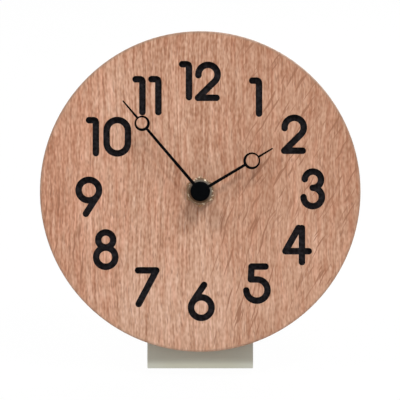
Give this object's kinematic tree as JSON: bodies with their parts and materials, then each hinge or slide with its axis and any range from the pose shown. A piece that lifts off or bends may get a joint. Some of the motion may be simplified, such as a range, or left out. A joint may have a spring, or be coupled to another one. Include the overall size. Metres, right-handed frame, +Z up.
{
  "type": "desk clock",
  "caption": "Round wooden desk clock: solid disc with milled numerals, two ring hands and a quartz movement, leaning on a bent steel strip.",
  "frame": {"origin": "on the floor at the middle of the flat part of the foot", "axes": "+Z up, the dial faces -Y, +X to the right as seen from the front"},
  "size_m": [0.15, 0.0796, 0.1597],
  "materials": {
    "oak": "matte, open grain",
    "stainless_strip": "satin",
    "screw_steel": "zinc plated",
    "black_plastic": "fine grained",
    "gear_plastic": "smooth",
    "brass": "turned",
    "rubber": "matte",
    "nickel": "polished nickel",
    "black_hand": "matte black",
    "black_cap": "matte black",
    "magnet": "ground",
    "soft_iron": "stamped",
    "copper_wire": "enamelled",
    "board": "varnished",
    "battery_can": "plain sleeve",
    "spring_steel": "nickel plated"
  },
  "bodies": {
    "clock_body": {"wooden_disc": "oak", "steel_stand": "stainless_strip", "stand_screws": "screw_steel", "movement_case": "black_plastic", "rear_cover": "black_plastic", "middle_plate": "gear_plastic", "threaded_bush": "brass", "sealing_washer": "rubber", "nut_washer": "nickel", "central_nut": "nickel", "stator": "soft_iron", "coil_core": "soft_iron", "coil_bobbin": "gear_plastic", "coil_winding": "copper_wire", "circuit_board": "board", "crystal_can": "nickel", "positive_contact": "spring_steel", "negative_contact": "spring_steel"},
    "minute_body": {"minute_hand": "black_hand", "cap_nut": "black_cap", "minute_arbor": "brass"},
    "hour_body": {"hour_hand": "black_hand", "hour_wheel": "gear_plastic"},
    "motion_body": {"motion_wheel": "gear_plastic"},
    "setting_body": {"setting_knob": "black_plastic", "setting_pinion": "gear_plastic"},
    "centre_wheel_body": {"centre_wheel": "gear_plastic"},
    "third_wheel_body": {"third_wheel": "gear_plastic"},
    "seconds_wheel_body": {"seconds_wheel": "gear_plastic"},
    "intermediate_wheel_body": {"intermediate_wheel": "gear_plastic"},
    "rotor_body": {"rotor_pinion": "gear_plastic", "rotor_magnet": "magnet"},
    "battery_body": {"battery": "battery_can"}
  },
  "joints": [
    {"name": "minute_hand_turn", "type": "hinge", "parent": "clock_body", "child": "minute_body", "pos_m": [0, -0.04198, 0.08811], "axis": [0, 0.9781, -0.2079], "continuous": true},
    {"name": "hour_hand_turn", "type": "hinge", "parent": "clock_body", "child": "hour_body", "pos_m": [0, -0.03964, 0.08761], "axis": [0, 0.9781, -0.2079], "continuous": true},
    {"name": "motion_wheel_turn", "type": "hinge", "parent": "clock_body", "child": "motion_body", "pos_m": [0.00831, -0.02142, 0.08864], "axis": [0, 0.9781, -0.2079], "continuous": true},
    {"name": "setting_knob_turn", "type": "hinge", "parent": "clock_body", "child": "setting_body", "pos_m": [0.01697, -0.00864, 0.09104], "axis": [0, 0.9781, -0.2079], "continuous": true},
    {"name": "seconds_wheel_turn", "type": "hinge", "parent": "clock_body", "child": "seconds_wheel_body", "pos_m": [0, -0.01655, 0.0827], "axis": [0, 0.9781, -0.2079], "continuous": true},
    {"name": "third_wheel_turn", "type": "hinge", "parent": "clock_body", "child": "third_wheel_body", "pos_m": [0.00177, -0.01642, 0.09294], "axis": [0, 0.9781, -0.2079], "continuous": true},
    {"name": "centre_wheel_turn", "type": "hinge", "parent": "clock_body", "child": "centre_wheel_body", "pos_m": [0, -0.01949, 0.08333], "axis": [0, 0.9781, -0.2079], "continuous": true},
    {"name": "intermediate_wheel_turn", "type": "hinge", "parent": "clock_body", "child": "intermediate_wheel_body", "pos_m": [-0.01034, -0.01595, 0.08071], "axis": [0, 0.9781, -0.2079], "continuous": true},
    {"name": "rotor_turn", "type": "hinge", "parent": "clock_body", "child": "rotor_body", "pos_m": [-0.01484, -0.01629, 0.08875], "axis": [0, 0.9781, -0.2079], "continuous": true},
    {"name": "battery_slide", "type": "slide", "parent": "clock_body", "child": "battery_body", "axis": [0, 0.9781, -0.2079], "range_m": [0, 0.016]}
  ],
  "couplings": [
    {"joint": "motion_wheel_turn", "follows": "minute_hand_turn", "ratio": -0.33333},
    {"joint": "hour_hand_turn", "follows": "minute_hand_turn", "ratio": 0.083333},
    {"joint": "setting_knob_turn", "follows": "minute_hand_turn", "ratio": 0.85714},
    {"joint": "third_wheel_turn", "follows": "seconds_wheel_turn", "ratio": -0.13333},
    {"joint": "centre_wheel_turn", "follows": "seconds_wheel_turn", "ratio": 0.016667},
    {"joint": "intermediate_wheel_turn", "follows": "seconds_wheel_turn", "ratio": -6},
    {"joint": "rotor_turn", "follows": "seconds_wheel_turn", "ratio": 30}
  ]
}
